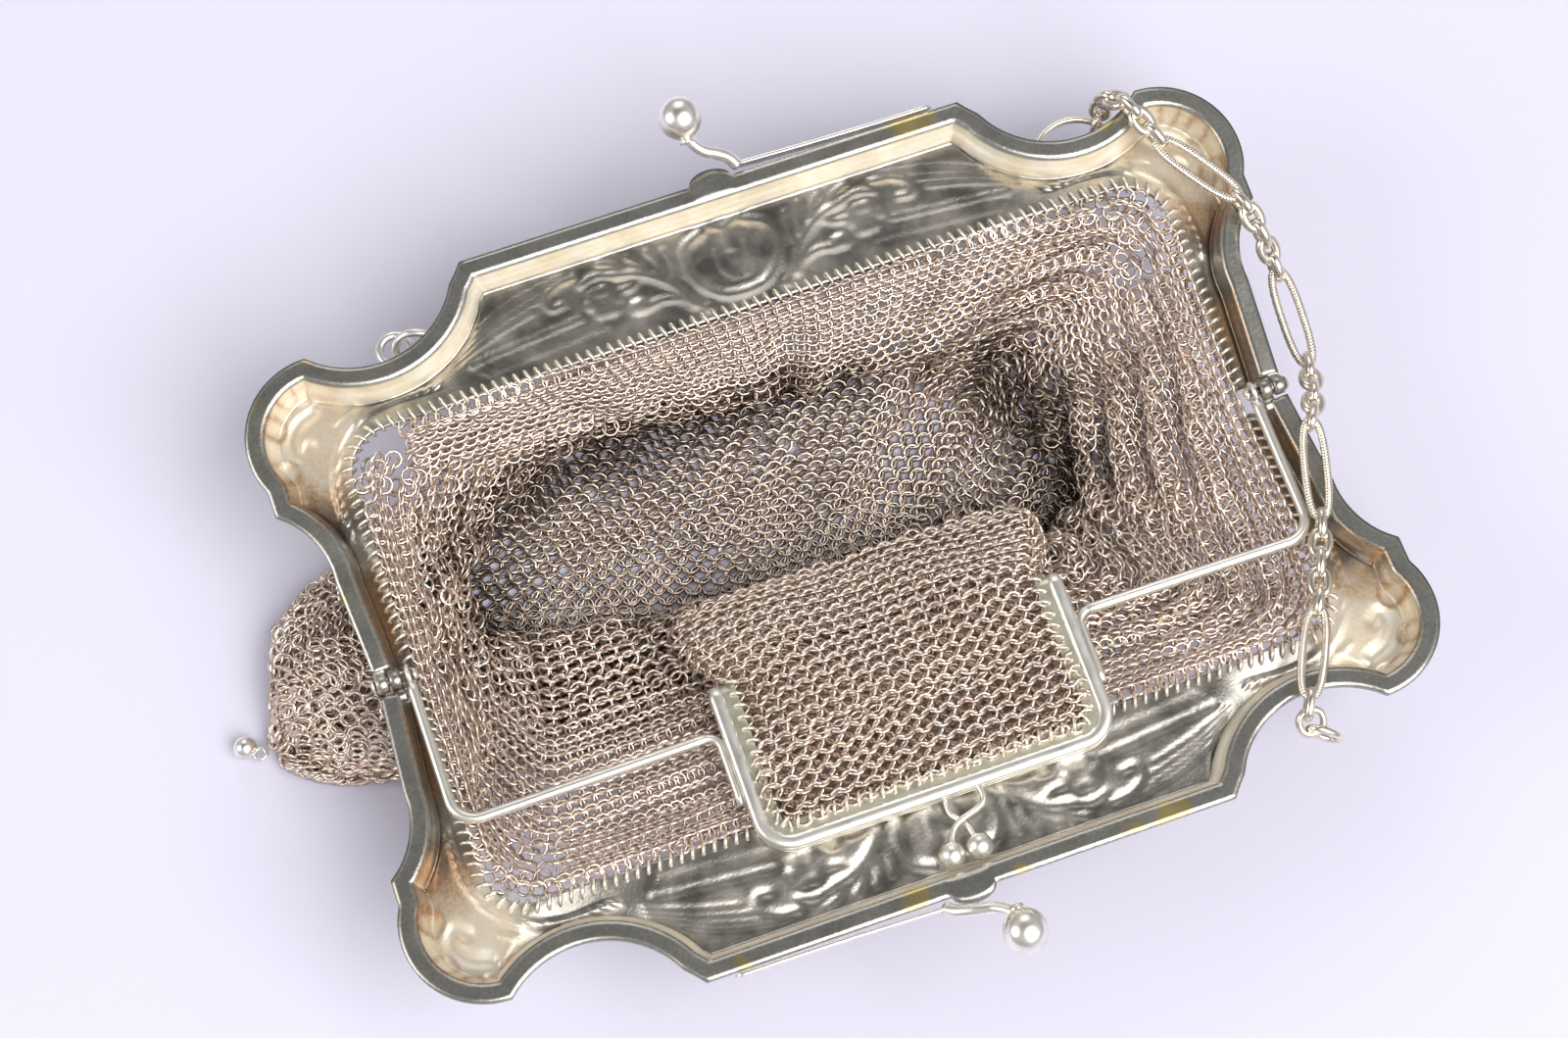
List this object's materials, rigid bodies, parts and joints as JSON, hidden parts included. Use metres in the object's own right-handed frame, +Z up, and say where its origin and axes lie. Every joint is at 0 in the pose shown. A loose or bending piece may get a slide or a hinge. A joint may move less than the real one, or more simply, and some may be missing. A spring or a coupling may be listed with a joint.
{
  "type": "metal mesh purse",
  "caption": "Antique metal mesh purse lying open: pressed hinged frame with ball clasps, ring-mesh sack, small coin purse on a wire bail, and a link handle chain.",
  "frame": {"origin": "on the table under the middle of the hinge line, at the level of the sack's flat underside", "axes": "+X along the hinge line toward the handle chain, +Y toward the back half of the frame, +Z up"},
  "size_m": [0.18, 0.1432, 0.0381],
  "materials": {
    "frame": "aged silver-plated pressed sheet, satin grey with yellow-brown tarnish",
    "bright": "worn bright silver plate",
    "mesh": "linked silver-plated rings, warm grey",
    "chain": "silver-plated wire, slightly warm"
  },
  "bodies": {
    "root": {"back_frame_half": "frame", "front_frame_half": "frame", "carry_ring": "chain", "jump_ring_inner": "bright", "jump_ring_outer": "bright", "hinge_pin_right": "bright", "hinge_pin_left": "bright", "back_clasp": "bright", "front_clasp": "bright", "coin_frame_and_bail": "bright", "coin_frame_lid": "bright", "mesh_bag": "mesh", "coin_pocket": "mesh", "drop_ball": "bright", "handle_chain": "chain"}
  },
  "joints": []
}
